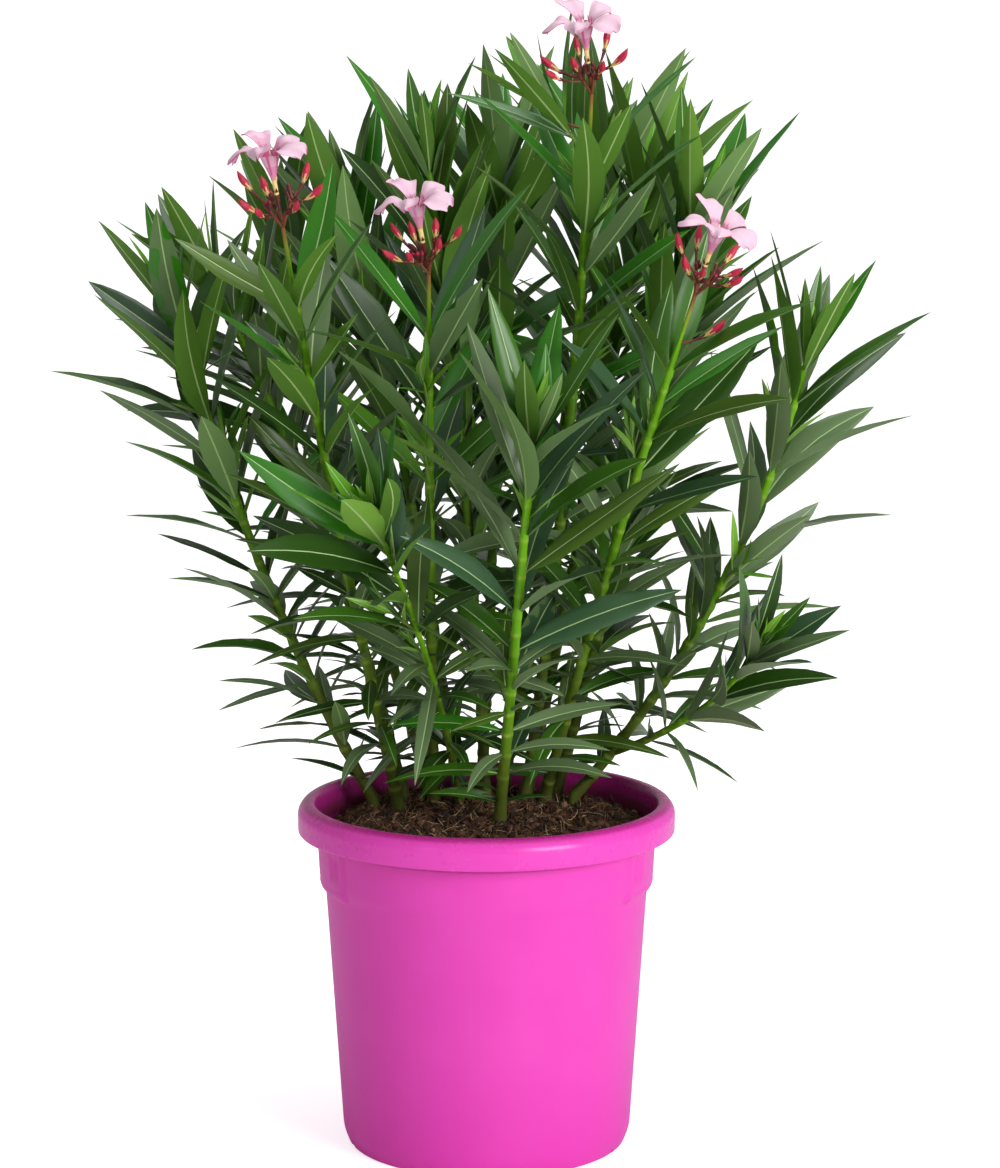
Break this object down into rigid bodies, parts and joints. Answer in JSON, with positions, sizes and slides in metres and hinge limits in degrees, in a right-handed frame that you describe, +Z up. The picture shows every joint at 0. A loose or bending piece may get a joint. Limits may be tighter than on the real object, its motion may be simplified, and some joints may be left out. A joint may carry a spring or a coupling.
{
  "type": "potted oleander",
  "caption": "Flowering oleander shrub of many upright canes with whorls of narrow leaves, standing in a round tapered plastic pot with a rolled rim.",
  "frame": {"origin": "middle of the pot's flat underside", "axes": "+Z up the plant; the crown's best side faces -Y; +X to its right as seen from the front"},
  "size_m": [0.5918, 0.5218, 0.7861],
  "materials": {
    "pot_plastic": "satin magenta plastic",
    "soil_peat": "loose dark potting soil",
    "cane_bark": "smooth olive-green bark",
    "leaf_green": "leathery leaves"
  },
  "bodies": {
    "root": {"cane_a": "cane_bark", "cane_b": "cane_bark", "cane_c": "cane_bark", "cane_d": "cane_bark", "cane_e": "cane_bark", "cane_f": "cane_bark", "cane_g": "cane_bark", "cane_i": "cane_bark", "cane_j": "cane_bark", "cane_k": "cane_bark", "cane_l": "cane_bark", "cane_m": "cane_bark", "cane_o": "cane_bark", "cane_p": "cane_bark", "cane_q": "cane_bark", "cane_t": "cane_bark", "cane_u": "cane_bark", "foliage_a_low": "leaf_green", "foliage_a_top": "leaf_green", "foliage_b_low": "leaf_green", "foliage_b_top": "leaf_green", "foliage_c": "leaf_green", "foliage_d_low": "leaf_green", "foliage_d_top": "leaf_green", "foliage_e_low": "leaf_green", "foliage_e_top": "leaf_green", "foliage_f_low": "leaf_green", "foliage_f_top": "leaf_green", "foliage_g_low": "leaf_green", "foliage_g_top": "leaf_green", "foliage_i_low": "leaf_green", "foliage_i_top": "leaf_green", "foliage_j_low": "leaf_green", "foliage_j_top": "leaf_green", "foliage_k": "leaf_green", "foliage_l_low": "leaf_green", "foliage_l_top": "leaf_green", "foliage_m_low": "leaf_green", "foliage_m_top": "leaf_green", "foliage_o_low": "leaf_green", "foliage_o_top": "leaf_green", "foliage_p_low": "leaf_green", "foliage_p_top": "leaf_green", "foliage_q_low": "leaf_green", "foliage_q_top": "leaf_green", "foliage_t_low": "leaf_green", "foliage_t_top": "leaf_green", "foliage_u_low": "leaf_green", "foliage_u_top": "leaf_green", "pot": "pot_plastic", "soil": "soil_peat"}
  },
  "joints": []
}
